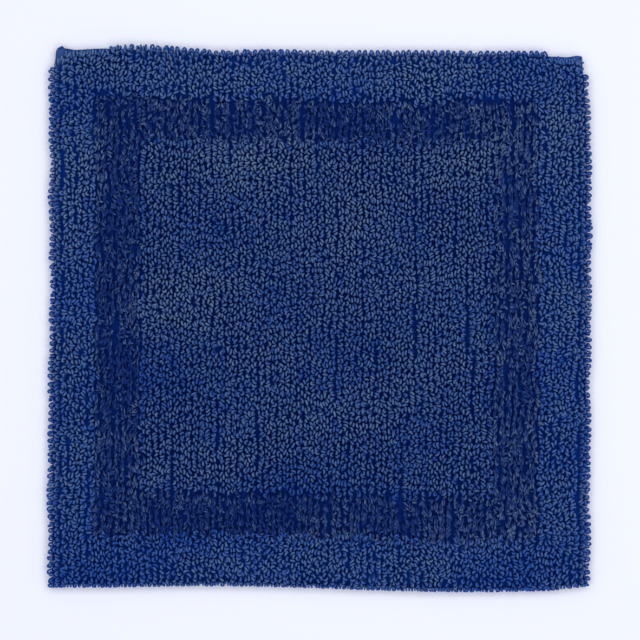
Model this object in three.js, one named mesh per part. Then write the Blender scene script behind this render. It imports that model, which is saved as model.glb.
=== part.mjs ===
// A square tufted cotton bath mat, in millimetres, +Z up.
//
// Cotton yarn is tufted through a woven ground cloth in columns that run along Y.
// The yarn stands as pile on top and shows as a row of back stitches underneath.
// The border and the centre keep their loops; the frame band between them is sheared.
// The cloth is bare along its edges, turned under there as a hem and stitched down.
// The origin is on the floor, under the middle of the mat.

import * as THREE from "three";

// Driving dimensions
const MAT_SIDE = 500; // over the outermost loops
const COLUMN_COUNT = 83; // columns of tufts from the left edge to the right edge
const LEFT_BORDER_COLUMNS = 7;
const RIGHT_BORDER_COLUMNS = 8;
const BAND_COLUMNS = 7; // on each side of the centre
const BACK_BORDER = 45;
const FRONT_BORDER = 50;
const BAND_WIDTH = 40; // of the front and back bands, along Y
const HEM_COLUMNS = 4; // columns that lie over each side hem
const LOOP_TOP = 13; // height of the loops above the floor
const BAND_TOP = 11.5; // the sheared band stands a little lower
const LOOP_OVERHANG = 4; // how far the edge loops lean out past the hem's fold
const CLOTH_THICKNESS = 0.9;
const THREAD_WIDTH = 0.6;
const GAP = 0.3; // between pieces that touch

// Heights, from the floor up: the stitching, the hem, the cloth, the pile
const THREAD_BOTTOM = 0.05;
const THREAD_TOP = THREAD_BOTTOM + 0.25;
const HEM_BOTTOM = THREAD_TOP + GAP;
const HEM_TOP = HEM_BOTTOM + CLOTH_THICKNESS;
const CLOTH_BOTTOM = HEM_TOP + GAP;
const CLOTH_TOP = CLOTH_BOTTOM + CLOTH_THICKNESS;
const PILE_BOTTOM = CLOTH_TOP + GAP;
const BACK_STITCH_TOP = CLOTH_BOTTOM - GAP;
const BACK_STITCH_GROOVE = 0.8; // depth of the groove between two rows
const LOOP_GROOVE = 2; // depth of the dip between two columns of loops
const BAND_GROOVE = 1;

// Plan of the mat
const HALF_SIDE = MAT_SIDE / 2;
const COLUMN_PITCH = MAT_SIDE / COLUMN_COUNT;
const CREST_SHARE = 0.5; // part of a column's width that its flat crest takes
const FOLD_HALF = HALF_SIDE - LOOP_OVERHANG;
const FOLD_RADIUS = (CLOTH_TOP - HEM_BOTTOM) / 2;
const FOLD_MIDDLE = (CLOTH_TOP + HEM_BOTTOM) / 2;
const CLOTH_HALF = FOLD_HALF - FOLD_RADIUS - GAP;
const HEM_INNER = HALF_SIDE - HEM_COLUMNS * COLUMN_PITCH;
const STITCH_LINE = (HEM_INNER + FOLD_HALF) / 2;

const columnsX = {
  left: 0,
  leftBand: LEFT_BORDER_COLUMNS,
  centre: LEFT_BORDER_COLUMNS + BAND_COLUMNS,
  rightBand: COLUMN_COUNT - RIGHT_BORDER_COLUMNS - BAND_COLUMNS,
  rightBorder: COLUMN_COUNT - RIGHT_BORDER_COLUMNS,
  right: COLUMN_COUNT,
};
const linesY = {
  front: -HALF_SIDE,
  frontBand: -HALF_SIDE + FRONT_BORDER,
  centreFront: -HALF_SIDE + FRONT_BORDER + BAND_WIDTH,
  centreBack: HALF_SIDE - BACK_BORDER - BAND_WIDTH,
  backBand: HALF_SIDE - BACK_BORDER,
  back: HALF_SIDE,
};

const mat = new THREE.Group();
mat.name = "bath_mat";

// Every piece has a cloth material of its own colour.
function clothMaterial(color) {
  return new THREE.MeshStandardMaterial({ color, roughness: 0.95, metalness: 0 });
}

const colours = {
  loops: 0x2b477f,
  sheared: 0x22386c,
  cloth: 0x263d70,
  hem: 0x2c4a86,
  thread: 0x35528f,
};

function columnEdge(index) {
  return -HALF_SIDE + index * COLUMN_PITCH;
}

// A profile drawn in X and Z, carried along Y from yFront to yBack.
function alongY(name, profile, yFront, yBack, color) {
  const geometry = new THREE.ExtrudeGeometry(profile, {
    depth: yBack - yFront,
    bevelEnabled: false,
    curveSegments: 6,
  });
  const mesh = new THREE.Mesh(geometry, clothMaterial(color));
  mesh.name = name;
  mesh.rotation.x = Math.PI / 2;
  mesh.position.y = yBack;
  return mesh;
}

// Adds a piece that is drawn at the right edge, turned about Z to another side.
function addTurned(mesh, quarterTurns) {
  const side = new THREE.Group();
  side.rotation.z = (quarterTurns * Math.PI) / 2;
  side.add(mesh);
  mat.add(side);
}

// Points of a ribbed edge: one flat crest for each column, from columnA towards columnB.
// The first and last grooves are cut short, so that blocks side by side stay apart.
function ribbedEdge(columnA, columnB, crestZ, grooveZ) {
  const step = Math.sign(columnB - columnA);
  const crest = (COLUMN_PITCH * CREST_SHARE * step) / 2;
  const points = [];
  for (let column = columnA; column !== columnB; column += step) {
    const middle = columnEdge(column + step / 2);
    if (column !== columnA) points.push([columnEdge(column), grooveZ]);
    points.push([middle - crest, crestZ], [middle + crest, crestZ]);
  }
  const inset = (GAP / 2) * step;
  points.unshift([columnEdge(columnA) + inset, grooveZ]);
  points.push([columnEdge(columnB) - inset, grooveZ]);
  return points;
}

function outline(points) {
  return new THREE.Shape(points.map(([x, z]) => new THREE.Vector2(x, z)));
}

// A block of pile over whole columns, with a crest of yarn along each column.
function addPile(name, columnA, columnB, yFront, yBack, top, groove, color) {
  const left = columnEdge(columnA) + GAP / 2;
  const right = columnEdge(columnB) - GAP / 2;
  const base = [
    [left, PILE_BOTTOM],
    [right, PILE_BOTTOM],
  ];
  const crests = ribbedEdge(columnB, columnA, top, top - groove);
  const profile = outline([...base, ...crests]);
  mat.add(alongY(name, profile, yFront + GAP / 2, yBack - GAP / 2, color));
}

function addLoops(name, columnA, columnB, yFront, yBack) {
  addPile(name, columnA, columnB, yFront, yBack, LOOP_TOP, LOOP_GROOVE, colours.loops);
}

function addSheared(name, columnA, columnB, yFront, yBack) {
  addPile(name, columnA, columnB, yFront, yBack, BAND_TOP, BAND_GROOVE, colours.sheared);
}

// The stitches of the tufting under the cloth, one rib for each column between the hems.
function addBackStitches() {
  const first = HEM_COLUMNS;
  const last = COLUMN_COUNT - HEM_COLUMNS;
  const ribs = ribbedEdge(first, last, 0, BACK_STITCH_GROOVE);
  const right = columnEdge(last) - GAP / 2;
  const left = columnEdge(first) + GAP / 2;
  const profile = outline([...ribs, [right, BACK_STITCH_TOP], [left, BACK_STITCH_TOP]]);
  const half = HEM_INNER - GAP / 2;
  mat.add(alongY("back_stitch_rows", profile, -half, half, colours.loops));
}

function addGroundCloth() {
  const geometry = new THREE.BoxGeometry(2 * CLOTH_HALF, 2 * CLOTH_HALF, CLOTH_THICKNESS);
  const mesh = new THREE.Mesh(geometry, clothMaterial(colours.cloth));
  mesh.name = "ground_cloth";
  mesh.position.z = (CLOTH_BOTTOM + CLOTH_TOP) / 2;
  mat.add(mesh);
}

// One edge of the cloth turned under: a flat flap below and a round fold at its outer side.
function addHem(name, quarterTurns, halfLength) {
  const foldX = FOLD_HALF - FOLD_RADIUS;
  const profile = new THREE.Shape();
  profile.moveTo(HEM_INNER + GAP / 2, HEM_BOTTOM);
  profile.lineTo(foldX, HEM_BOTTOM);
  profile.absarc(foldX, FOLD_MIDDLE, FOLD_RADIUS, -Math.PI / 2, Math.PI / 2, false);
  profile.lineTo(foldX, HEM_TOP);
  profile.lineTo(HEM_INNER + GAP / 2, HEM_TOP);
  profile.closePath();
  addTurned(alongY(name, profile, -halfLength, halfLength, colours.hem), quarterTurns);
}

// The run of lockstitch that holds one hem down, along the middle of its flap.
function addHemStitching(name, quarterTurns, halfLength) {
  const height = THREAD_TOP - THREAD_BOTTOM;
  const geometry = new THREE.BoxGeometry(THREAD_WIDTH, 2 * halfLength, height);
  const mesh = new THREE.Mesh(geometry, clothMaterial(colours.thread));
  mesh.name = name;
  mesh.position.set(STITCH_LINE, 0, (THREAD_BOTTOM + THREAD_TOP) / 2);
  addTurned(mesh, quarterTurns);
}

function addHems() {
  const sides = ["right", "back", "left", "front"];
  sides.forEach((side, turns) => {
    const isSideHem = turns % 2 === 0;
    const hemHalf = isSideHem ? FOLD_HALF : HEM_INNER;
    const threadEnd = STITCH_LINE + THREAD_WIDTH / 2;
    const threadHalf = isSideHem ? threadEnd : threadEnd - THREAD_WIDTH - GAP;
    addHem(`hem_${side}`, turns, hemHalf);
    addHemStitching(`hem_stitching_${side}`, turns, threadHalf);
  });
}

function addPileZones() {
  const x = columnsX;
  const y = linesY;
  addLoops("border_pile_left", x.left, x.leftBand, y.front, y.back);
  addLoops("border_pile_right", x.rightBorder, x.right, y.front, y.back);
  addLoops("border_pile_back", x.leftBand, x.rightBorder, y.backBand, y.back);
  addLoops("border_pile_front", x.leftBand, x.rightBorder, y.front, y.frontBand);
  addSheared("frame_band_left", x.leftBand, x.centre, y.frontBand, y.backBand);
  addSheared("frame_band_right", x.rightBand, x.rightBorder, y.frontBand, y.backBand);
  addSheared("frame_band_back", x.centre, x.rightBand, y.centreBack, y.backBand);
  addSheared("frame_band_front", x.centre, x.rightBand, y.frontBand, y.centreFront);
  addLoops("centre_pile", x.centre, x.rightBand, y.centreFront, y.centreBack);
}

addBackStitches();
addGroundCloth();
addHems();
addPileZones();

export default mat;
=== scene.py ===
"""A square tufted cotton bath mat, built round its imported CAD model.

Every tuft is a length of yarn. All of them are laid out as loops and then settled by a small yarn
simulation, in which they push each other aside and are pulled back towards their own length. It
stops before either is complete: loops end about 15% short, and many still lie partly in each other
near their feet. The border and the centre stay looped, and the band between them is sheared, so each
of its tufts is two open brushes of plies.
Under the pile lie a woven cloth, its turned and stitched hems, and the rows of back stitches.
Lengths are in metres. +Z is up, +Y is the back edge and +X the right.
"""

import math

import bpy
import numpy as np
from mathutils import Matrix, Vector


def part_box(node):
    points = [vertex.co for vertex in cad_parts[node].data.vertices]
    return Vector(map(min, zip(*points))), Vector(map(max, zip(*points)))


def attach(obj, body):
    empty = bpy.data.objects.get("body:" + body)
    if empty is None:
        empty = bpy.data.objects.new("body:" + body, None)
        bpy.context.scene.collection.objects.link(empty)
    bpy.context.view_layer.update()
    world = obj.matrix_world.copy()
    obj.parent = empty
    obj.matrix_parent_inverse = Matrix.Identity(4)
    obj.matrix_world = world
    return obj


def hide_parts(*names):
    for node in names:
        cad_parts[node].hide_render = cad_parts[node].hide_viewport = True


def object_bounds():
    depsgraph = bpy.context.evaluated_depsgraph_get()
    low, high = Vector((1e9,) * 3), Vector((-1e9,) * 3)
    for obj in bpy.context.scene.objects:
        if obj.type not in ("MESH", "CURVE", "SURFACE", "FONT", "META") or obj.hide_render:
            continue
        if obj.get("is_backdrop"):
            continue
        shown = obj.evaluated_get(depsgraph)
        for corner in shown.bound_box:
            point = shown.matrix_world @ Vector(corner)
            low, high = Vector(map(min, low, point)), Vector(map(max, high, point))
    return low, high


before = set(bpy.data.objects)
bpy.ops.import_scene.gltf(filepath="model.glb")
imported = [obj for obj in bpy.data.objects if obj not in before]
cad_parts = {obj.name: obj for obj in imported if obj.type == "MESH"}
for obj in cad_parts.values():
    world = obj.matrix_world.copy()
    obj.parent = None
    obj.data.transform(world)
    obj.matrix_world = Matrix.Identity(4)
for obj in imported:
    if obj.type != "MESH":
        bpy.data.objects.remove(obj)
cad_low, cad_high = (np.array(corner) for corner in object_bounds())

MM = 0.001
TAU = 2 * math.pi
UP = np.array([0.0, 0.0, 1.0])
rng = np.random.default_rng(20)


def low_high(node):
    """The lowest and highest corners of a CAD node."""
    low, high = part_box(node)
    return np.array(low), np.array(high)


# Places and sizes that the CAD model gives
centre_low, centre_high = low_high("centre_pile")
band_low, band_high = low_high("frame_band_left")[0], low_high("frame_band_right")[1]
cloth_low, cloth_high = low_high("ground_cloth")
hem_low, hem_high = low_high("hem_right")
thread_low, thread_high = low_high("hem_stitching_right")
rows_low, rows_high = low_high("back_stitch_rows")
HALF = (cad_high - cad_low)[:2].max() / 2
LOOP_TOP = cad_high[2]
BAND_TOP = band_high[2]
CLOTH_TOP = cloth_high[2]
CLOTH_THICKNESS = cloth_high[2] - cloth_low[2]
STITCH_LINE = (thread_low[0] + thread_high[0]) / 2
THREAD_HALF = (thread_high[0] - thread_low[0]) / 2

# The tufting: each stitch carries two strands through one hole
COLUMNS = 83
STITCHES = 78
STRANDS = 2
STRAND_GAP = 0.9 * MM
COLUMN_PITCH = 2 * HALF / COLUMNS
STITCH_PITCH = 2 * HALF / STITCHES
OUTER_FEET = HALF - 5 * MM  # the outermost tufts stand back from the fold
HOLE_GAP = 0.3 * MM  # how far apart along the column the strands of an outermost stitch are
FOOT_SCATTER = (0.25 * MM, 0.5 * MM)  # in X and in Y
WANDER_STEP, MOST_WANDER = 0.14 * MM, 0.8 * MM  # how far a column strays: in one stitch, and in all
MOST_SLIP = 0.3  # of a stitch, between a column and its neighbours
RAGGED, WAVY = 1.6 * MM, 1.3 * MM  # how far the outlines of the band stray: at each tuft, and in waves

# The edges
LEAN_FROM, LEAN_FADE = 13 * MM, 8 * MM  # where tufts begin to lean out, and how soon they lean fully
FRONT_LINE = 2.6 * MM - HALF  # the loops of the front edge end here in an even line
BARE_LEFT, BARE_RIGHT = 0.79, 0.86  # beyond these shares of the half side, the back fold is bare
BARE_DOWN = 17 * MM  # how far down the sides the fold is bare
OUTER_ROWS = 4 * MM  # tufts this near the outermost ones stand back from a bare fold
STAND_BACK = 3 * MM  # how far they do
EAR_BARE = 12 * MM  # the square at the back left corner that has no tufts
EAR_CURL, EAR_SIZE = 6 * MM, 12 * MM  # how high that corner of the cloth curls up, and how far in

# The yarn
YARN_RADIUS = 0.95 * MM
LOOP_ROOM = 2.6 * MM  # how far apart settling pushes the middles of two looped yarns, at most
CUT_ROOM = 1.6 * MM  # the same for sheared yarns, which are softer
LOOP_LENGTH = 21.5 * MM
EDGE_LOOP_LENGTH = 17.5 * MM
LOOP_HEIGHT = 10.2 * MM  # before the loops settle
EDGE_DROP = 2.8 * MM  # how much lower the outermost loops are
LEG_LENGTH = 11.0 * MM
HALF_FOOT = 0.8 * MM  # half the gap between the feet of a tuft
LOOP_SWELL, CUT_SWELL = 1.2 * MM, 0.4 * MM  # how much further each side of a tuft bulges
PATCH_DIP = 1.2 * MM  # how much lower the press reaches in some patches
TUFT_DIPS = (0, 0.5 * MM, 1.6 * MM)  # and over some tufts
TUFT_POINTS = 12  # an even number, so that a sheared tuft has two legs of the same number
HALF_POINTS = TUFT_POINTS // 2
LOOP_RINGS, LOOP_SIDES = 12, 6
PLIES = 3
PLY_RADIUS = 0.52 * MM
PLY_TAPER = (0.8, 1, 1, 0.85, 0.4)  # shares of that radius, one for each ring
PLY_RINGS, PLY_SIDES = len(PLY_TAPER), 4
THREAD_PITCH = 3.6 * MM  # of the sewing thread in the hems

# How tufts lean in X and in Y, as shares of their height: each by itself, and a patch of them together
BORDER_SCATTER, BORDER_DRIFT = (0.10, 0.16), (0.11, 0.30)
CENTRE_SCATTER, CENTRE_DRIFT = (0.06, 0.16), (0.08, 0.16)
CUT_SCATTER, LEG_SCATTER = (0.04, 0.15), (0.10, 0.25)
LOOP_SWAY, CUT_SWAY = 0.04, 0.07  # along a column
CUT_LEAN = -0.35  # sheared tufts lean to the front
FOLD_LEAN = -0.15  # loops beside a bare fold lean inwards
EDGE_LEAN = 0.56  # the outermost loops lean out
PARTINGS = 22  # places where neighbouring columns have been brushed apart

# Colours from the darkest depths up to the brightest tips: painted shade at the foot of the yarn,
# painted light at its tips
LOOP_COLOURS = ((0.0002, 0.018, 0.335), (0.020, 0.064, 0.271), (0.129, 0.198, 0.308))
# The band's ramp: the same navy painted darker, for the shade that sheared pile holds
BAND_COLOURS = ((0.0002, 0.005, 0.135), (0.012, 0.041, 0.205), (0.175, 0.255, 0.400))
# The border's ramp: the same navy painted lighter and bluer, for the light that reaches the border's
# loops
BORDER_PAINTED_LIGHTER_COLOURS = ((0.0006, 0.026, 0.390), (0.018, 0.069, 0.322), (0.122, 0.191, 0.314))
# The cloth's ramp: painted dark for the shade under the pile; its pale end is painted light for the
# hems, the ear and the edges
CLOTH_COLOURS = ((0.0002, 0.007, 0.090), (0.001, 0.032, 0.250), (0.060, 0.115, 0.260))


# Small helpers -----------------------------------------------------------------------------------


def hump(away, width):
    """1 where away is 0, and down to 0 a few widths from there."""
    return np.exp(-((away / width) ** 2))


def ramp(away, width):
    """0 up to where away is 0, and from there up to 1 over the width."""
    return np.clip(away / width, 0, 1)


def unit(vectors):
    """The same directions, with a length of 1."""
    return vectors / np.maximum(np.linalg.norm(vectors, axis=-1, keepdims=True), 1e-9)


def smooth_field(feet, size, parts=1):
    """Smooth random values for each foot, of about 1 at most, with waves about size long."""
    out = np.zeros((len(feet), parts))
    for _ in range(7):
        angle, phase = rng.uniform(0, TAU, 2)
        wave = TAU / (size * rng.uniform(0.7, 1.5))
        along = feet @ np.array([math.cos(angle), math.sin(angle)])
        out += np.sin(along * wave + phase)[:, None] * rng.normal(0, 0.4, parts)
    return out


# Where the tufts stand ---------------------------------------------------------------------------


def tuft_places():
    """Where each strand comes through the cloth, and its column and stitch."""
    counts = (COLUMNS, STITCHES, STRANDS)
    column, stitch, strand = (g.ravel() for g in np.indices(counts))
    wander = np.cumsum(rng.normal(0, WANDER_STEP, (COLUMNS, STITCHES)), axis=1)
    wander = np.clip(wander - wander.mean(axis=1, keepdims=True), -MOST_WANDER, MOST_WANDER)
    slip = rng.uniform(-MOST_SLIP, MOST_SLIP, COLUMNS)
    x = -HALF + (column + 0.5) * COLUMN_PITCH + wander[column, stitch]
    y = -HALF + (stitch + 0.5 + slip[column]) * STITCH_PITCH
    feet = np.stack([x, y], axis=1)
    outermost = np.abs(feet).max(axis=1) > HALF - STITCH_PITCH
    in_front = feet[:, 1] < STITCH_PITCH - HALF
    gap_x = np.where(in_front, COLUMN_PITCH / STRANDS, STRAND_GAP)  # evenly spread along the front
    gap_y = np.where(outermost, HOLE_GAP, STITCH_PITCH / STRANDS)
    feet += (strand - (STRANDS - 1) / 2)[:, None] * np.stack([gap_x, gap_y], axis=1)
    feet += rng.normal(0, 1, feet.shape) * FOOT_SCATTER
    feet = np.clip(feet, -OUTER_FEET, OUTER_FEET)
    feet -= STAND_BACK * np.sign(feet) * fold_shows(feet)
    tufted = (feet[:, 0] > EAR_BARE - HALF) | (feet[:, 1] < HALF - EAR_BARE)
    return feet[tufted], column[tufted], stitch[tufted]


def fold_shows(feet):
    """Where the outermost loops stand back, in X or in Y, to bare the fold at the back corners."""
    out = np.abs(feet) > OUTER_FEET - OUTER_ROWS
    out[:, 0] &= feet[:, 1] > HALF - BARE_DOWN
    past_left = feet[:, 0] < -BARE_LEFT * HALF
    past_right = feet[:, 0] > BARE_RIGHT * HALF
    out[:, 1] &= (feet[:, 1] > 0) & (past_left | past_right)
    return out


def sheared(feet):
    """Which tufts stand in the band: inside its outer edge and outside the centre."""
    wavy = feet + rng.normal(0, RAGGED, feet.shape) + smooth_field(feet, 35 * MM, 2) * WAVY
    inside = np.all((wavy > band_low[:2]) & (wavy < band_high[:2]), axis=1)
    centre = np.all((wavy > centre_low[:2]) & (wavy < centre_high[:2]), axis=1)
    return inside & ~centre


def in_border(feet):
    """Which tufts stand outside the band."""
    return np.any((feet < band_low[:2]) | (feet > band_high[:2]), axis=1)


def by_band_edge(feet):
    """From 1 on the outlines of the band down to 0 well away from them."""
    inside_outer = np.minimum(feet - band_low[:2], band_high[:2] - feet).min(axis=1)
    inside_inner = np.minimum(feet - centre_low[:2], centre_high[:2] - feet).min(axis=1)
    away = np.minimum(np.abs(inside_outer), np.abs(inside_inner))
    return hump(away, 7 * MM)


def edge_reach(feet):
    """How far each tuft leans out over the edge: 1 for the outermost, and less for the next row.

    Beside the bare fold at the left of the back edge they lean out only little by little."""
    near = ramp(np.abs(feet) - (HALF - LEAN_FROM), LEAN_FADE)
    beside = np.clip(0.3 + (feet[:, 0] + BARE_LEFT * HALF) / (70 * MM), 0, 1)
    near[:, 1] *= np.where(feet[:, 1] > 0, beside, 1)
    return np.sign(feet) * near * ~fold_shows(feet)


def side_of(feet, low, high):
    """Which strip round a box a foot belongs to. The left and right strips run the full length."""
    slack = 2 * MM
    left, right = feet[:, 0] < low[0] + slack, feet[:, 0] > high[0] - slack
    return np.select([left, right, feet[:, 1] > 0], ["left", "right", "back"], "front")


# How each tuft stands before it settles ----------------------------------------------------------


def partings(column, stitch):
    """A sideways lean where neighbouring columns have been brushed apart."""
    lean = np.zeros(len(column))
    for _ in range(PARTINGS):
        split = rng.integers(6, COLUMNS - 6)
        middle = rng.uniform(2, STITCHES - 2)
        length = rng.uniform(2, 7)
        strength = rng.uniform(0.06, 0.16)
        side = column - split + 0.5
        near = hump(np.abs(side) - 0.5, 1.2) * np.exp(-(((stitch - middle) / length) ** 4))
        lean += np.sign(side) * near * strength
    return lean


def column_sway(column, stitch):
    """A sideways lean that changes slowly along each column and owes nothing to its neighbours."""
    weights = (0.3, 0.55, 0.7, 0.55, 0.3)
    raw = rng.normal(0, 1, (COLUMNS, STITCHES + len(weights) - 1))
    smooth = sum(raw[:, k : k + STITCHES] * weight for k, weight in enumerate(weights))
    return smooth[column, stitch]


def leans(feet, column, stitch, cut, reach):
    """How far each point of each tuft leans in X and in Y, as a share of its height."""
    border = in_border(feet)[:, None]
    edge = np.abs(reach).max(axis=1)
    scatter = np.where(border, BORDER_SCATTER, CENTRE_SCATTER)
    scatter[cut] = CUT_SCATTER
    lean = rng.normal(0, 1, (len(feet), 2)) * scatter * (1 - 0.6 * edge)[:, None]
    lean += smooth_field(feet, 60 * MM, 2) * np.where(border, BORDER_DRIFT, CENTRE_DRIFT)
    lean[:, 0] += partings(column, stitch)
    lean[:, 0] += column_sway(column, stitch) * np.where(cut, CUT_SWAY, LOOP_SWAY)
    lean[cut, 1] += 0.3 * smooth_field(feet, 50 * MM)[cut, 0] + CUT_LEAN
    lean += reach * EDGE_LEAN
    lean = np.where(fold_shows(feet), FOLD_LEAN * np.sign(feet), lean)
    lean = np.repeat(lean[:, None], TUFT_POINTS, axis=1)
    for leg in (slice(None, HALF_POINTS), slice(HALF_POINTS, None)):
        lean[cut, leg] += rng.normal(0, 1, (cut.sum(), 1, 2)) * LEG_SCATTER
    return lean


def first_shapes(feet, column, stitch, cut):
    """Every tuft before it settles: a balloon-shaped loop, or two short legs where it is cut."""
    count = len(feet)
    reach = edge_reach(feet)
    edge = np.abs(reach).max(axis=1)
    in_front = reach[:, 1] < -0.8
    uneven = np.where(in_front, 0.02, 0.08 - 0.04 * edge)
    height = np.where(cut, LEG_LENGTH, LOOP_HEIGHT - edge * EDGE_DROP)
    height *= 1 + uneven * rng.uniform(-1, 1, count)
    swell = np.where(cut, CUT_SWELL, LOOP_SWELL) * rng.uniform(0.6, 1.5, count)
    swell += (0.9 * in_front - 0.2 * edge) * MM
    along = np.linspace(0, math.pi, TUFT_POINTS)
    u = -np.cos(along) * (HALF_FOOT + swell[:, None] * np.sin(along))
    z = height[:, None] * np.sin(along) ** 0.7

    # Loops stand along their column, but face outwards at the front and back edges
    faces_out = (np.abs(reach[:, 1]) > 0.8) & (np.abs(reach[:, 0]) < 0.8)
    turn = np.where(faces_out, 0, math.pi / 2)
    turn = turn + rng.normal(0, 1, count) * np.where(in_border(feet), 0.5, 0.32) * (1 - 0.8 * edge)
    twist = rng.normal(0, 0.22, count)
    turn = turn[:, None] + twist[:, None] * (z / height[:, None])

    lean = leans(feet, column, stitch, cut, reach)
    bend = (z / height[:, None]) ** 1.3 * height[:, None]
    points = np.empty((count, TUFT_POINTS, 3))
    points[..., 0] = feet[:, :1] + u * np.cos(turn) + lean[..., 0] * bend
    points[..., 1] = feet[:, 1:] + u * np.sin(turn) + lean[..., 1] * bend
    points[..., 2] = CLOTH_TOP + z / np.sqrt(1 + 0.6 * (lean**2).sum(-1))
    return points


# Yarn simulation ---------------------------------------------------------------------------------


def close_pairs(points, reach):
    """Pairs of points nearer than reach, each pair once, found on a grid of cells in X and Y."""
    cell = np.floor((points[:, :2] - points[:, :2].min(0)) / reach).astype(np.int64) + 1
    wide = cell[:, 1].max() + 2
    order = np.argsort(cell[:, 0] * wide + cell[:, 1], kind="stable")
    key = (cell[:, 0] * wide + cell[:, 1])[order]
    placed = points[order]
    first, second = [], []
    for shift in (0, 1, wide - 1, wide, wide + 1):
        start = np.searchsorted(key, key + shift, "left")
        end = np.searchsorted(key, key + shift, "right")
        if shift == 0:
            start = np.arange(len(key)) + 1
        for k in range(int((end - start).max())):
            a = np.flatnonzero(start + k < end)
            b = start[a] + k
            near = ((placed[a] - placed[b]) ** 2).sum(1) < reach * reach
            first.append(order[a[near]])
            second.append(order[b[near]])
    return np.concatenate(first), np.concatenate(second)


def push_apart(flat, a, b, distance):
    """Moves points that are nearer than distance away from each other."""
    gap = flat[a] - flat[b]
    length = np.maximum(np.sqrt((gap**2).sum(1)), 1e-7)
    hit = length < distance
    a, b, gap, length, distance = a[hit], b[hit], gap[hit], length[hit], distance[hit]
    push = gap * ((distance - length) / length * 0.5)[:, None]
    count = len(flat)
    touches = np.bincount(a, minlength=count) + np.bincount(b, minlength=count)
    share = 1.2 / np.maximum(touches, 1)  # a little over the mean push, so that it settles sooner
    for axis in range(3):
        move = np.bincount(a, push[:, axis], count) - np.bincount(b, push[:, axis], count)
        flat[:, axis] += move * share


def keep_length(points, rest, weight):
    """Brings every stretch of yarn back towards its own length. A weight of 0 is a cut."""
    for odd in (0, 1):
        a, b = points[:, odd:-1:2], points[:, odd + 1 :: 2]
        step = b - a
        length = np.maximum(np.sqrt((step**2).sum(-1)), 1e-7)
        pull = step * ((length - rest[:, None]) / length * 0.5 * weight[:, odd::2])[..., None]
        a += pull
        b -= pull


def keep_round(points, rest, weight):
    """Resists sharp folds in the yarn, by pushing points two apart away from each other."""
    least = 1.62 * rest[:, None]  # straight yarn would have 2
    a, b = points[:, :-2], points[:, 2:]
    step = b - a
    length = np.maximum(np.sqrt((step**2).sum(-1)), 1e-7)
    push = step * (np.minimum(length - least, 0) / length * 0.25 * weight)[..., None]
    points[:, :-2] += push
    points[:, 2:] -= push


def settle(points, feet, cut, steps=60):
    """Lets the yarns push each other aside, under a press that flattens the pile a little."""
    edge = np.abs(edge_reach(feet)).max(axis=1)
    length = LOOP_LENGTH + (EDGE_LOOP_LENGTH - LOOP_LENGTH) * edge
    length *= 1 + rng.normal(0, 0.05, len(feet)) * (1 - 0.6 * edge)
    rest = np.where(cut, LEG_LENGTH / (HALF_POINTS - 1), length / (TUFT_POINTS - 1))
    whole = np.ones((len(points), TUFT_POINTS - 1))
    whole[cut, HALF_POINTS - 1] = 0
    unbent = np.minimum(whole[:, 1:], whole[:, :-1])
    ends = points[:, [0, -1]].copy()
    dip = np.clip(smooth_field(feet, 90 * MM)[:, 0] * 0.5 + 0.5, 0, 1) * PATCH_DIP
    dip += rng.choice(TUFT_DIPS, len(cut))
    top = np.where(cut, BAND_TOP, LOOP_TOP) - YARN_RADIUS - dip
    tuft = np.repeat(np.arange(len(points)), TUFT_POINTS)
    place = np.tile(np.arange(TUFT_POINTS), len(points))
    room = np.repeat(np.where(cut, CUT_ROOM, LOOP_ROOM), TUFT_POINTS)
    for step in range(steps):
        flat = points.reshape(-1, 3)
        if step % 5 == 0:  # the same pairs serve for a few steps, so they are sought a little wider
            a, b = close_pairs(flat, LOOP_ROOM * 1.35)
            apart = (tuft[a] != tuft[b]) | (np.abs(place[a] - place[b]) > 2)
            a, b = a[apart], b[apart]
            distance = (room[a] + room[b]) / 2
        push_apart(flat, a, b, distance)
        keep_round(points, rest, unbent)
        keep_length(points, rest, whole)
        keep_length(points, rest, whole)
        np.clip(points[..., 2], CLOTH_TOP, top[:, None], out=points[..., 2])
        np.maximum(points[..., 1], FRONT_LINE, out=points[..., 1])
        points[:, [0, -1]] = ends
    for _ in range(2):  # takes the kinks out of the yarn
        bend = (points[:, :-2] + points[:, 2:]) / 2 - points[:, 1:-1]
        points[:, 1:-1] += 0.5 * bend * unbent[..., None]
    return points


# Outline -----------------------------------------------------------------------------------------


def outline_warp(points):
    """The mat doesn't lie perfectly square: its edges bow and lean a little, and its corners differ.

    u runs from -1 at the left edge to 1 at the right one, and v from the front to the back."""
    u = points[..., 0] / HALF
    v = points[..., 1] / HALF
    left = -2.7 * MM + 1.0 * MM * v + 1.3 * MM * hump(v - 0.12, 0.3)
    left += 3.5 * MM * ramp(v - 0.9, 0.1) ** 1.5 + 3 * MM * ramp(-v - 0.94, 0.06) ** 2
    right = 3.1 * MM + 0.9 * MM * np.sin(2.6 * v + 0.6) - 4.2 * MM * ramp(v, 1) ** 6
    right -= 4 * MM * ramp(-v - 0.955, 0.045) ** 2
    back = -0.1 * MM - 1.0 * MM * u + 5.5 * MM * hump(u + 0.78, 0.24)
    back -= 1.3 * MM * ramp(u - 0.8, 0.2)
    front = -4.2 * MM - 2.8 * MM * np.sin(3.2 * u - 0.25) + 2 * MM * hump(u + 1, 0.18)
    front += 3 * MM * ramp(u - 0.85, 0.15)
    out = points.copy()
    out[..., 0] += left * (1 - u) / 2 + right * (1 + u) / 2
    out[..., 1] += front * (1 - v) / 2 + back * (1 + v) / 2
    return out


def by_ear(points):
    """From 1 at the back left corner of the cloth, which curls up, down to 0 well away from it."""
    corner = points[..., :2] - [-hem_high[0], hem_high[1]]
    return np.exp(-((corner**2).sum(-1) / EAR_SIZE**2))


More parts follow.
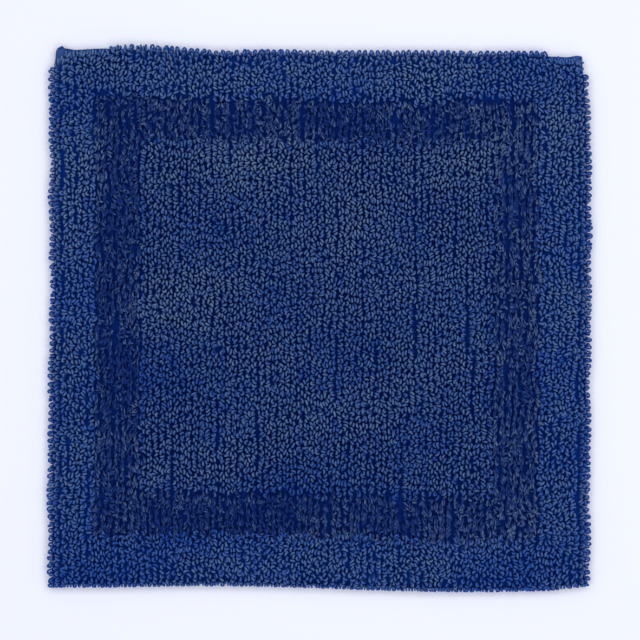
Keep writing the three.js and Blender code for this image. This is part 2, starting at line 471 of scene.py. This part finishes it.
def cloth_warp(points):
    """The cloth follows the outline, and its back corners poke out in small ears."""
    out = outline_warp(points)
    left = points[..., 0] < 0
    inward = hem_high[0] - np.abs(points[..., 0])
    peak = np.where(left, 6.5 * MM, 3.5 * MM)
    slope = np.where(left & (inward > peak), 1.5 * MM, 6 * MM)
    behind = ramp(points[..., 1] - hem_high[1] + 8 * MM, 8 * MM)
    out[..., 1] += np.where(left, 4.5 * MM, 2.0 * MM) * hump(inward - peak, slope) * behind
    out[..., 2] += EAR_CURL * by_ear(points)
    return out


# Tubes -------------------------------------------------------------------------------------------


def refined(points, rings, middle=1):
    """Catmull-Rom curves through the points of each yarn.

    At the middle of a yarn its rings stand that share of the even distance apart."""
    n = points.shape[1]
    before = 2 * points[:, :1] - points[:, 1:2]
    after = 2 * points[:, -1:] - points[:, -2:-1]
    padded = np.concatenate([before, points, after], axis=1)
    even = np.linspace(-1, 1, rings)
    at = (n - 1) * (even * (middle + (1 - middle) * even**2) + 1) / 2
    i = np.minimum(at.astype(int), n - 2)
    t = (at - i)[None, :, None]
    p0, p1, p2, p3 = (padded[:, i + k] for k in range(4))
    curve = 2 * p1 + (p2 - p0) * t + (2 * p0 - 5 * p1 + 4 * p2 - p3) * t**2
    return 0.5 * (curve + (3 * p1 - p0 - 3 * p2 + p3) * t**3)


def tube_frames(lines):
    """Two directions across each line at each of its points, carried along without twist."""
    tangent = unit(np.gradient(lines, axis=1))
    across = np.empty_like(lines)
    across[:, 0] = unit(np.cross(tangent[:, 0], np.array([0.31, 0.95, 0.05])))
    for k in range(1, lines.shape[1]):
        previous = across[:, k - 1]
        inline = (previous * tangent[:, k]).sum(1, keepdims=True)
        across[:, k] = unit(previous - inline * tangent[:, k])
    return across, np.cross(tangent, across)


def flat_frames(lines):
    """Two directions across each line: level, and upright, for yarn that lies flat."""
    tangent = unit(np.gradient(lines, axis=1))
    level = unit(np.cross(tangent, UP))
    return level, np.cross(level, tangent)


def tubes(lines, frames, width, height, sides):
    """Round or flattened sections along each line, of those half widths and half heights."""
    angle = np.arange(sides) * TAU / sides
    level, upright = (f[:, :, None] for f in frames)
    width, height = (np.broadcast_to(r, lines.shape[:2])[..., None, None] for r in (width, height))
    wall = level * np.cos(angle)[:, None] * width + upright * np.sin(angle)[:, None] * height
    return lines[:, :, None] + wall


def brushes(legs, shade):
    """Each cut leg opened into plies that spread towards their tips."""
    count = len(legs)
    rise = np.linspace(0, 1, PLY_RINGS)
    turn = rng.uniform(0, TAU, (count, 1)) + np.arange(PLIES) * TAU / PLIES
    turn += rng.normal(0, 0.3, (count, PLIES))
    spread = rng.uniform(0.0, 0.3, (count, PLIES)) * MM
    offset = 0.36 * MM + spread[..., None] * rise**1.4
    lines = np.repeat(refined(legs, PLY_RINGS)[:, None], PLIES, axis=1)
    lines[..., 0] += offset * np.cos(turn)[..., None]
    lines[..., 1] += offset * np.sin(turn)[..., None]
    stretch = rng.uniform(0.84, 1.06, (count, PLIES, 1))
    lines[..., 2] = CLOTH_TOP + (lines[..., 2] - CLOTH_TOP) * stretch
    return lines.reshape(-1, PLY_RINGS, 3), np.repeat(shade, PLIES) + rng.normal(0, 0.1, count * PLIES)


# Meshes ------------------------------------------------------------------------------------------

CORNERS = ((0, 0), (0, 1), (1, 1), (1, 0))  # of a wall face: steps along its tube and round it


def yarn_coordinates(sections):
    """For every face corner, how far round its tube it is, as a share, and how far along, in metres."""
    count, rings, sides, _ = sections.shape
    tube, ring, side = np.indices((count, rings - 1, sides))
    step = np.linalg.norm(np.diff(sections.mean(axis=2), axis=1), axis=2)
    length = np.concatenate([np.zeros((count, 1)), np.cumsum(step, axis=1)], axis=1)
    walls = [np.stack([(side + s) / sides, length[tube, ring + r]], -1) for r, s in CORNERS]
    walls = np.stack(walls, axis=-2).reshape(-1, 2)
    return np.concatenate([walls, np.zeros((2 * count * sides, 2))])


def bake_coordinates(count, rings, sides):
    """For every face corner, its place in the baked picture, where each tube has a cell of its own."""
    cells = math.ceil(math.sqrt(count))
    tube, ring, side = np.indices((count, rings - 1, sides))
    share = [np.stack([(side + s) / sides, (ring + r) / (rings - 1)], -1) for r, s in CORNERS]
    origin = np.stack([tube % cells, tube // cells], -1)[..., None, :]
    walls = (origin + 0.06 + 0.84 * np.stack(share, axis=-2)) / cells
    ends = np.tile(np.arange(count), 2)
    angle = np.arange(sides) * TAU / sides
    spot = 0.95 + 0.02 * np.stack([np.cos(angle), np.sin(angle)], -1)
    caps = (np.stack([ends % cells, ends // cells], -1)[:, None] + spot) / cells
    return np.concatenate([walls.reshape(-1, 2), caps.reshape(-1, 2)])


def skin(name, sections, tint):
    """One mesh of closed tubes through their sections, with a tint for each tube or each point."""
    count, rings, sides, _ = sections.shape
    tube, ring, side = np.indices((count, rings - 1, sides))
    numbers = [(tube * rings + ring + r) * sides + (side + s) % sides for r, s in CORNERS]
    walls = np.stack(numbers, axis=-1).reshape(-1, 4)
    first = (np.arange(count) * rings * sides)[:, None] + np.arange(sides)[::-1]
    last = first[:, ::-1] + (rings - 1) * sides
    caps = np.concatenate([first, last])
    corners = np.concatenate([walls.ravel(), caps.ravel()])
    starts = np.concatenate([np.arange(len(walls)) * 4, walls.size + np.arange(len(caps)) * sides])

    mesh = bpy.data.meshes.new(name)
    mesh.vertices.add(count * rings * sides)
    mesh.vertices.foreach_set("co", sections.astype(np.float32).ravel())
    mesh.loops.add(len(corners))
    mesh.loops.foreach_set("vertex_index", corners.astype(np.int32))
    mesh.polygons.add(len(starts))
    mesh.polygons.foreach_set("loop_start", starts.astype(np.int32))
    mesh.update(calc_edges=True)
    mesh.shade_smooth()
    coordinates = {"yarn": yarn_coordinates(sections), "OFBake": bake_coordinates(count, rings, sides)}
    for uv_name, uv in coordinates.items():
        layer = mesh.uv_layers.new(name=uv_name)
        layer.uv.foreach_set("vector", uv.astype(np.float32).ravel())
    layer = mesh.attributes.new("tint", "FLOAT", "POINT")
    tint = np.broadcast_to(tint.reshape(count, -1), (count, rings * sides))
    layer.data.foreach_set("value", tint.astype(np.float32).ravel())
    return mesh


# Cloth, hems and stitches ------------------------------------------------------------------------


def woven_cloth():
    """The ground cloth as one thin closed sheet, which ripples a little."""
    steps = 90
    x = np.linspace(cloth_low[0], cloth_high[0], steps)
    y = np.linspace(cloth_low[1], cloth_high[1], steps)
    grid = np.stack(np.meshgrid(x, y), axis=-1)
    ripple = smooth_field(grid.reshape(-1, 2), 40 * MM)[:, 0].reshape(steps, steps) * 0.06 * MM
    top = np.concatenate([grid, (CLOTH_TOP + ripple)[..., None]], axis=-1)
    under = top - CLOTH_THICKNESS * UP
    return np.concatenate([top, under[:, ::-1]], axis=1)[None]


def folded_hem(quarter_turns):
    """A turned edge: its section is a J, and both its ends are mitred to meet the next ones."""
    half = CLOTH_THICKNESS / 2
    bend = (CLOTH_TOP - hem_low[2]) / 2 - half
    bend_x, bend_z = hem_high[0] - bend - half, hem_low[2] + half + bend
    run = np.linspace(hem_low[0], bend_x, 8)
    angle = np.linspace(-math.pi / 2, math.pi / 2, 9)

    def line(offset):
        """The J at that distance from the middle of the cloth."""
        round_x = bend_x + (bend + offset) * np.cos(angle)
        round_z = bend_z + (bend + offset) * np.sin(angle)
        flat_z = np.full(len(run) - 1, bend_z - bend - offset)
        return np.stack([np.append(run[:-1], round_x), np.append(flat_z, round_z)], -1)

    section = np.concatenate([line(half), line(-half)[::-1]])
    out, up = section[:, 0], section[:, 1]
    share = np.linspace(-0.999, 0.999, 190)[:, None]
    wave = smooth_field(share * [[HALF, 0]], 14 * MM)
    pucker = hump(out - STITCH_LINE, 1.6 * MM)
    dimples = 1 + np.sin(share * HALF * TAU / THREAD_PITCH)
    points = np.empty((len(share), len(section), 3))
    points[..., 0] = out + wave * 0.16 * MM
    points[..., 1] = share * out
    points[..., 2] = up + pucker * 0.12 * MM * dimples * (up < bend_z)
    return turned(points, quarter_turns)[None]


def turned(points, quarter_turns):
    """Points turned about Z, from the right side to another."""
    out = points.copy()
    for _ in range(quarter_turns):
        out[..., 0], out[..., 1] = -out[..., 1].copy(), out[..., 0].copy()
    return out


def lockstitch(quarter_turns):
    """Short stitches of sewing thread under a hem, whose ends dive into the cloth."""
    middles = np.arange(-STITCH_LINE + THREAD_PITCH, STITCH_LINE - THREAD_PITCH / 2, THREAD_PITCH)
    along = np.linspace(-0.46, 0.46, 7) * THREAD_PITCH
    lines = np.empty((len(middles), len(along), 3))
    lines[..., 0] = STITCH_LINE + rng.normal(0, 0.06 * MM, (len(middles), 1))
    lines[..., 1] = middles[:, None] + along
    lines[..., 2] = hem_low[2] - 0.2 * MM + 0.3 * MM * np.abs(along / along[-1]) ** 3
    lines = turned(lines, quarter_turns)
    return tubes(lines, flat_frames(lines), THREAD_HALF, 0.2 * MM, 6)


def stitch_rows():
    """The tufting yarn's runs under the cloth: a flat bar a stitch, whose ends rise into the holes."""
    x = -HALF + (np.arange(COLUMNS) + 0.5) * COLUMN_PITCH
    x = x[np.abs(x) < rows_high[0]]
    stitches = int((rows_high[1] - rows_low[1]) / STITCH_PITCH)
    pitch = (rows_high[1] - rows_low[1]) / stitches
    middle = rows_low[1] + (np.arange(stitches) + 0.5) * pitch
    x, middle = (g.reshape(-1, 1) for g in np.meshgrid(x, middle))
    # Each bar has four sections: an end in its hole, two on the flat run, and the other end
    along = np.array([-0.46, -0.22, 0.22, 0.46]) * pitch
    slant = rng.normal(0, 0.05, x.shape)
    lines = np.empty((len(x), len(along), 3))
    lines[..., 0] = x + rng.normal(0, 0.12 * MM, x.shape) + slant * along
    lines[..., 1] = middle + along
    lines[..., 2] = np.array([1.40, 0.74, 0.74, 1.40]) * MM
    width = np.array([0.8, 1.7, 1.7, 0.8]) * MM * rng.uniform(0.9, 1.06, x.shape)
    height = np.array([0.35, 0.68, 0.68, 0.35]) * MM
    return tubes(lines, flat_frames(lines), width, height, 5)


# Materials ---------------------------------------------------------------------------------------


def new_material(name, roughness, sheen):
    """A fabric material, its node tree and its shader."""
    material = bpy.data.materials.new(name)
    material.use_nodes = True
    tree = material.node_tree
    shader = tree.nodes["Principled BSDF"]
    shader.inputs["Roughness"].default_value = roughness
    shader.inputs["Specular IOR Level"].default_value = 0.06
    shader.inputs["Sheen Weight"].default_value = sheen
    shader.inputs["Sheen Roughness"].default_value = 0.45
    shader.inputs["Sheen Tint"].default_value = (0.15, 0.40, 1.0, 1)
    return material, tree, shader


def maths(tree, operation, *values):
    """A Math node's output. Each value is a number or another node's output."""
    made = tree.nodes.new("ShaderNodeMath")
    made.operation = operation
    for socket, value in zip(made.inputs, values):
        if isinstance(value, (int, float)):
            socket.default_value = value
        else:
            tree.links.new(value, socket)
    return made.outputs["Value"]


def place_in(tree):
    """The place of the point being shaded, as a vector and as its X, Y and Z."""
    place = tree.nodes.new("ShaderNodeTexCoord")
    split = tree.nodes.new("ShaderNodeSeparateXYZ")
    tree.links.new(place.outputs["Object"], split.inputs["Vector"])
    return place.outputs["Object"], split.outputs


def tint_in(tree):
    """The tint of the yarn or cloth being shaded: its tone, and in places painted light and shade."""
    made = tree.nodes.new("ShaderNodeAttribute")
    made.attribute_name = "tint"
    return made.outputs["Fac"]


def noise(tree, vector, scale, detail):
    """Random values from 0 to 1, which change over about 1 / scale metres."""
    made = tree.nodes.new("ShaderNodeTexNoise")
    made.inputs["Scale"].default_value = scale
    made.inputs["Detail"].default_value = detail
    tree.links.new(vector, made.inputs["Vector"])
    return made.outputs["Fac"]


def colour(tree, shader, fac, colours):
    """Runs the base colour through evenly spaced colours as fac goes from 0 to 1."""
    made = tree.nodes.new("ShaderNodeValToRGB")
    stops = made.color_ramp.elements
    for _ in colours[2:]:
        stops.new(0.5)
    for k, (stop, value) in enumerate(zip(stops, colours)):
        stop.position = k / (len(colours) - 1)
        stop.color = (*value, 1)
    tree.links.new(fac, made.inputs["Fac"])
    tree.links.new(made.outputs["Color"], shader.inputs["Base Color"])


def relief(tree, shader, height, strength, distance):
    """Fine relief from a height that runs from about 0 to 1 over the distance."""
    bump = tree.nodes.new("ShaderNodeBump")
    bump.inputs["Strength"].default_value = strength
    bump.inputs["Distance"].default_value = distance
    tree.links.new(height, bump.inputs["Height"])
    tree.links.new(bump.outputs["Normal"], shader.inputs["Normal"])


def yarn_material(name, colours, low, high, painted_shade_depth, ply_turn, sheen):
    """Cotton yarn: painted shade, lighter by depth from low up to high, and each tuft in a shade of its
    own.

    Its plies wind round it once in ply_turn metres."""
    material, tree, shader = new_material(name, 0.85, sheen)
    vector, place = place_in(tree)
    fibres = noise(tree, vector, 900, 3)
    # Painted shade: the yarn is darker towards low, where shade falls between the tufts, and lighter up
    # to its tips at high
    rise = maths(tree, "MULTIPLY_ADD", place["Z"], 1 / (high - low), -low / (high - low))
    shade = maths(tree, "MULTIPLY_ADD", rise, painted_shade_depth, 0.42 - painted_shade_depth)
    shade = maths(tree, "MULTIPLY_ADD", tint_in(tree), 0.55, shade)
    shade = maths(tree, "MULTIPLY_ADD", fibres, 0.3, shade)
    colour(tree, shader, shade, colours)

    yarn = tree.nodes.new("ShaderNodeUVMap")
    yarn.uv_map = "yarn"
    split = tree.nodes.new("ShaderNodeSeparateXYZ")
    tree.links.new(yarn.outputs["UV"], split.inputs["Vector"])
    turns = maths(tree, "MULTIPLY", split.outputs["Y"], TAU / ply_turn)
    phase = maths(tree, "MULTIPLY_ADD", split.outputs["X"], 2 * TAU, turns)
    plies = maths(tree, "SINE", phase)
    relief(tree, shader, maths(tree, "MULTIPLY_ADD", plies, 0.5, fibres), 0.6, 0.3 * MM)
    return material


def cloth_material(name, colours):
    """Plain-woven cotton: threads that pass over and under each other, and painted paler towards the
    edges.
    """
    material, tree, shader = new_material(name, 0.9, 0.2)
    vector, place = place_in(tree)
    thread = math.pi / (1.1 * MM)
    warp = maths(tree, "SINE", maths(tree, "MULTIPLY", place["X"], thread))
    weft = maths(tree, "SINE", maths(tree, "MULTIPLY", place["Y"], thread))
    weave = maths(tree, "MULTIPLY_ADD", maths(tree, "MULTIPLY", warp, weft), 0.5, 0.5)
    slubs = noise(tree, vector, 260, 4)
    # Painted light: the cloth is paler from the band's outer edge out to the hems, out of the shade
    # painted under the pile
    away_x = maths(tree, "ABSOLUTE", place["X"])
    away_y = maths(tree, "ABSOLUTE", place["Y"])
    away = maths(tree, "MAXIMUM", away_x, away_y)
    fade = 60 * MM
    painted_edge_light = maths(tree, "MULTIPLY_ADD", away, 1 / fade, -band_high[0] / fade)
    painted_edge_light = maths(tree, "MINIMUM", maths(tree, "MAXIMUM", painted_edge_light, 0), 0.25)
    fac = maths(tree, "MULTIPLY_ADD", slubs, 0.2, maths(tree, "MULTIPLY", weave, 0.15))
    fac = maths(tree, "ADD", maths(tree, "ADD", tint_in(tree), painted_edge_light), fac)
    colour(tree, shader, fac, colours)
    relief(tree, shader, maths(tree, "MULTIPLY_ADD", slubs, 0.3, weave), 0.7, 0.35 * MM)
    return material


# The pieces --------------------------------------------------------------------------------------


def piece(name, sections, tint, material, slot, *nodes):
    """A finished piece of the mat, which stands for those CAD nodes."""
    made = bpy.data.objects.new(name, skin(name, sections, tint))
    bpy.context.collection.objects.link(made)
    made.data.materials.append(material)
    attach(made, "root")
    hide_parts(*nodes)
    return made


def add_loops(name, node, shapes, shade, material):
    """A zone of looped pile: one tube a loop, with its rings closer together at the head."""
    lines = outline_warp(refined(shapes, LOOP_RINGS, 0.6))
    sections = tubes(lines, tube_frames(lines), YARN_RADIUS, YARN_RADIUS, LOOP_SIDES)
    piece(name, sections, shade, material, "pile_yarn", node)


def add_brushes(name, node, shapes, shade, material):
    """A zone of sheared pile: both legs of each tuft, each from its foot up and opened into plies."""
    legs = np.concatenate([shapes[:, :HALF_POINTS], shapes[:, : HALF_POINTS - 1 : -1]])
    lines, shade = brushes(legs, np.tile(shade, 2))
    lines = outline_warp(lines)
    radius = np.array(PLY_TAPER) * PLY_RADIUS
    sections = tubes(lines, tube_frames(lines), radius, radius, PLY_SIDES)
    piece(name, sections, shade, material, "sheared_yarn", node)


def tuft_shades_with_painted_light(feet, cut):
    """How light each tuft is: each a little different, with painted light and shade in broad patches,
    and painted lighter to the back.
    """
    shade = 0.42 + rng.normal(0, 0.09, len(feet)) + smooth_field(feet, 110 * MM)[:, 0] * 0.12
    # Painted light: the border and band a little lighter, and lighter to the back, from where more
    # light falls
    shade += 0.03 * (in_border(feet) | cut) + np.where(cut, 0.03, 0.10) * feet[:, 1] / HALF
    # A painted highlight along the back of the centre, where its loops lean towards the lower band
    shade += 0.08 * hump(feet[:, 1] - centre_high[1] + 18 * MM, 16 * MM)
    # Painted light on the band, lighter to the right; at the band's outlines, painted shade on the
    # loops and painted light on the band's tufts
    shade += 0.08 * cut * feet[:, 0] / HALF + np.where(cut, 0.16, -0.13) * by_band_edge(feet)
    return shade


def add_pile():
    """All the tufts, settled together and then sorted into the zones of the mat."""
    feet, column, stitch = tuft_places()
    cut = sheared(feet)
    shapes = settle(first_shapes(feet, column, stitch, cut), feet, cut)
    shade = tuft_shades_with_painted_light(feet, cut)
    looped = yarn_material("looped yarn", LOOP_COLOURS, CLOTH_TOP, LOOP_TOP, 0.62, 5 * MM, 0.25)
    # A lighter copy of the looped yarn, with less painted shade at its foot, as painted light on the
    # border
    border = yarn_material("border yarn painted lighter", BORDER_PAINTED_LIGHTER_COLOURS, CLOTH_TOP, LOOP_TOP, 0.55, 5 * MM, 0.25)
    # The band's yarn has the darker ramp and the deepest painted shade at its foot
    brushed = yarn_material("sheared yarn", BAND_COLOURS, CLOTH_TOP, BAND_TOP, 0.95, 9 * MM, 0.15)

    middle_low = (band_low + centre_low)[:2] / 2
    middle_high = (band_high + centre_high)[:2] / 2
    inner = np.all((feet > middle_low) & (feet < middle_high), axis=1)
    border_side = side_of(feet, band_low, band_high)
    band_side = side_of(feet, centre_low, centre_high)
    for side in ("left", "right", "back", "front"):
        zone = ~cut & ~inner & (border_side == side)
        add_loops(f"loops_{side}", f"border_pile_{side}", shapes[zone], shade[zone], border)
        zone = cut & (band_side == side)
        add_brushes(f"sheared_{side}", f"frame_band_{side}", shapes[zone], shade[zone], brushed)
    centre = np.flatnonzero(~cut & inner)
    for k, strip in enumerate(np.array_split(centre, 6)):
        add_loops(f"loops_centre_{k + 1}", "centre_pile", shapes[strip], shade[strip], looped)


def add_backing():
    """What lies under the pile: the cloth, its hems, their stitching and the back stitches."""
    cotton = cloth_material("woven cotton", CLOTH_COLOURS)
    yarn = yarn_material("back stitch yarn", LOOP_COLOURS, 0, 3 * MM, 0, 7 * MM, 0.2)
    sewing = yarn_material("sewing thread", LOOP_COLOURS, 0, 3 * MM, 0, 1.5 * MM, 0.3)
    # Painted light: the hems are painted paler than the cloth, where their folds come out into the
    # light
    hem_painted_light = np.full(1, 0.3)
    for quarter_turns, side in enumerate(("right", "back", "left", "front")):
        sections = cloth_warp(folded_hem(quarter_turns))
        hem = piece(f"folded_hem_{side}", sections, hem_painted_light, cotton, "ground_cloth", f"hem_{side}")
        sections = cloth_warp(lockstitch(quarter_turns))
        shade = np.full(len(sections), 0.5)
        thread = piece(f"lockstitch_{side}", sections, shade, sewing, "sewing_thread",
                       f"hem_stitching_{side}")
    sections = woven_cloth()
    # Painted light, lighter towards the back left corner where the cloth curls up into the light
    ear_painted_light = 0.5 * by_ear(sections)
    sheet = piece("woven_cloth", cloth_warp(sections), ear_painted_light, cotton, "ground_cloth", "ground_cloth")
    sections = outline_warp(stitch_rows())
    shade = 0.42 + rng.normal(0, 0.08, len(sections))
    piece("stitch_rows", sections, shade, yarn, "pile_yarn", "back_stitch_rows")


# The stage ---------------------------------------------------------------------------------------


def make_floor():
    """A plain pale floor."""
    bpy.ops.mesh.primitive_plane_add(size=8)
    floor = bpy.context.object
    floor.name = "floor"
    paint = bpy.data.materials.new("floor")
    paint.use_nodes = True
    shader = paint.node_tree.nodes["Principled BSDF"]
    shader.inputs["Base Color"].default_value = (0.851, 0.862, 0.955, 1)
    shader.inputs["Roughness"].default_value = 0.9
    floor.data.materials.append(paint)
    floor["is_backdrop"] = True


def make_camera():
    """A camera straight above the mat, whose view is that wide at the top of the loops."""
    height = 2.0
    view_width = 0.5946
    camera = bpy.data.objects.new("camera", bpy.data.cameras.new("camera"))
    bpy.context.collection.objects.link(camera)
    camera.data.sensor_width = 36
    camera.data.lens = camera.data.sensor_width * height / view_width
    camera.location = (0.6 * MM, -1.4 * MM, height + LOOP_TOP)
    bpy.context.scene.camera = camera


def make_lights():
    """A pale sky and four soft lamps, which stand round the mat and face its middle."""
    world = bpy.data.worlds.new("studio")
    world.use_nodes = True
    world.node_tree.nodes["Background"].inputs["Color"].default_value = (0.9, 0.94, 1.0, 1)
    world.node_tree.nodes["Background"].inputs["Strength"].default_value = 0.5
    bpy.context.scene.world = world
    bpy.context.scene.view_settings.view_transform = "Standard"
    rise, away = math.radians(58), 1.9
    for turn, power in ((35, 9.0), (125, 7.0), (215, 6.0), (305, 7.0)):
        lamp = bpy.data.lights.new("soft light", "AREA")
        lamp.shape = "DISK"
        lamp.size = 1.2
        lamp.energy = power
        made = bpy.data.objects.new("soft light", lamp)
        bpy.context.collection.objects.link(made)
        angle = math.radians(turn)
        made.location = (
            away * math.cos(rise) * math.cos(angle),
            away * math.cos(rise) * math.sin(angle),
            away * math.sin(rise),
        )
        made.rotation_mode = "QUATERNION"
        made.rotation_quaternion = made.location.to_track_quat("Z", "Y")


make_floor()
make_camera()
make_lights()
add_pile()
add_backing()
